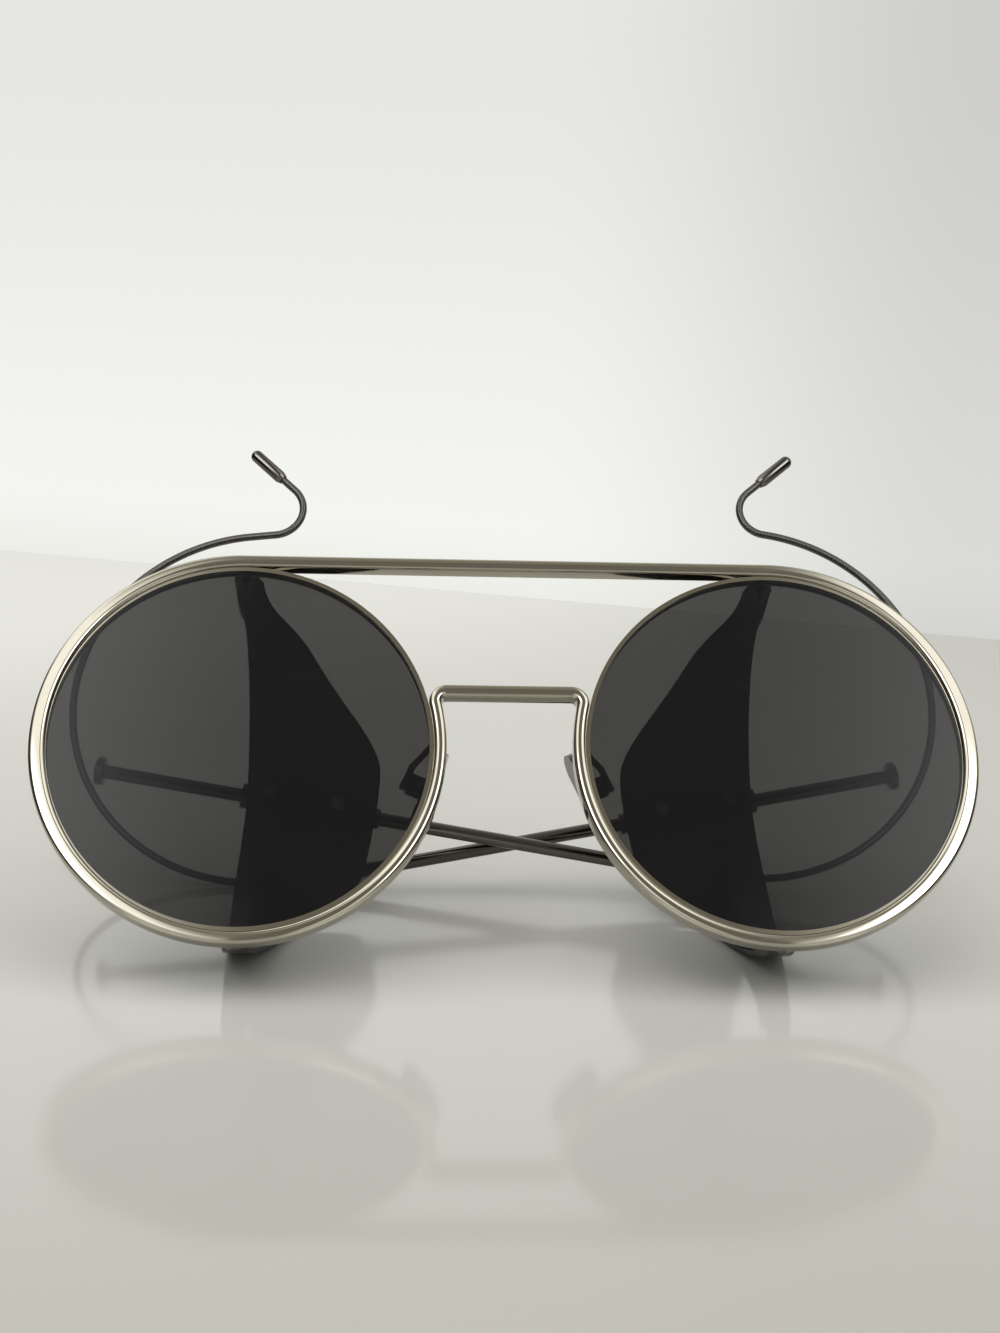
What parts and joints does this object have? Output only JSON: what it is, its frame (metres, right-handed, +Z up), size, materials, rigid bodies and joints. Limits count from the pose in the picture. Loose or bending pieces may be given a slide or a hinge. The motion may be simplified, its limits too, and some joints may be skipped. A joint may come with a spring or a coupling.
{
  "type": "sunglasses",
  "caption": "Round wire sunglasses, folded: flat tinted lenses, folding half-round tinted side shields, and straight wire temples that slide and turn, with sprung cable ear hooks.",
  "frame": {"origin": "On the table plane, under the middle of the folded glasses' bounding box", "axes": "+X to the viewer's right across the lenses, +Y away from the viewer, +Z up from the table"},
  "size_m": [0.1436, 0.0946, 0.0656],
  "materials": {
    "polished_metal": "polished nickel-silver wire, mirror bright",
    "dark_steel": "plain steel pins, rivets and screws",
    "cable_steel": "fine steel wire wound into a springy cable",
    "lens_tint": "flat grey tinted glass, glossy",
    "shield_tint": "moulded grey tinted plastic, glossy"
  },
  "bodies": {
    "front": {"top_bar": "polished_metal", "bridge_wire": "polished_metal", "left_ring_wire": "polished_metal", "right_ring_wire": "polished_metal", "left_rim": "polished_metal", "right_rim": "polished_metal", "left_lens": "lens_tint", "right_lens": "lens_tint", "left_upper_lug": "polished_metal", "left_lower_lug": "polished_metal", "right_upper_lug": "polished_metal", "right_lower_lug": "polished_metal", "left_upper_pin": "dark_steel", "left_lower_pin": "dark_steel", "right_upper_pin": "dark_steel", "right_lower_pin": "dark_steel", "left_pad_arm": "polished_metal", "right_pad_arm": "polished_metal", "left_pad_box": "polished_metal", "right_pad_box": "polished_metal", "left_pad_screw": "dark_steel", "right_pad_screw": "dark_steel"},
    "left_side": {"left_side_shield": "shield_tint", "left_sleeve": "polished_metal", "left_saddle": "polished_metal", "left_front_rivet": "dark_steel", "left_rear_rivet": "dark_steel"},
    "left_swivel": {"left_swivel_bush": "polished_metal"},
    "left_temple": {"left_temple_rod": "polished_metal", "left_ferrule": "polished_metal", "left_ear_cable": "cable_steel", "left_cable_tip": "polished_metal"},
    "left_pad": {"left_nose_pad": "polished_metal"},
    "right_side": {"right_side_shield": "shield_tint", "right_sleeve": "polished_metal", "right_saddle": "polished_metal", "right_front_rivet": "dark_steel", "right_rear_rivet": "dark_steel"},
    "right_swivel": {"right_swivel_bush": "polished_metal"},
    "right_temple": {"right_temple_rod": "polished_metal", "right_ferrule": "polished_metal", "right_ear_cable": "cable_steel", "right_cable_tip": "polished_metal"},
    "right_pad": {"right_nose_pad": "polished_metal"}
  },
  "joints": [
    {"name": "left_fold", "type": "hinge", "parent": "front", "child": "left_side", "pos_m": [-0.04142, -0.02525, 0.02902], "axis": [0, 0.5976, 0.8018], "range_deg": [0, 90.2]},
    {"name": "left_turn", "type": "hinge", "parent": "left_side", "child": "left_swivel", "pos_m": [-0.0216, 0.00115, 0.01135], "axis": [-0.9851, 0.1055, 0.1358], "range_deg": [0, 180]},
    {"name": "left_slide", "type": "slide", "parent": "left_swivel", "child": "left_temple", "axis": [0.9851, -0.1055, -0.1358], "range_m": [0, 0.0222]},
    {"name": "left_pad_rock", "type": "hinge", "parent": "front", "child": "left_pad", "pos_m": [-0.01533, -0.02568, 0.02443], "axis": [0, 0.8018, -0.5976], "range_deg": [-6, 6]},
    {"name": "right_fold", "type": "hinge", "parent": "front", "child": "right_side", "pos_m": [0.03698, -0.02525, 0.02902], "axis": [0, -0.5976, -0.8018], "range_deg": [0, 86.2], "deforming": ["left_ear_cable"]},
    {"name": "right_turn", "type": "hinge", "parent": "right_side", "child": "right_swivel", "pos_m": [0.01943, 0.0022, 0.01057], "axis": [-0.9829, -0.0504, -0.1769], "range_deg": [0, 180]},
    {"name": "right_slide", "type": "slide", "parent": "right_swivel", "child": "right_temple", "axis": [-0.9829, -0.0504, -0.1769], "range_m": [0, 0.0222]},
    {"name": "right_pad_rock", "type": "hinge", "parent": "front", "child": "right_pad", "pos_m": [0.0109, -0.02568, 0.02443], "axis": [0, 0.8018, -0.5976], "range_deg": [-6, 6]}
  ]
}
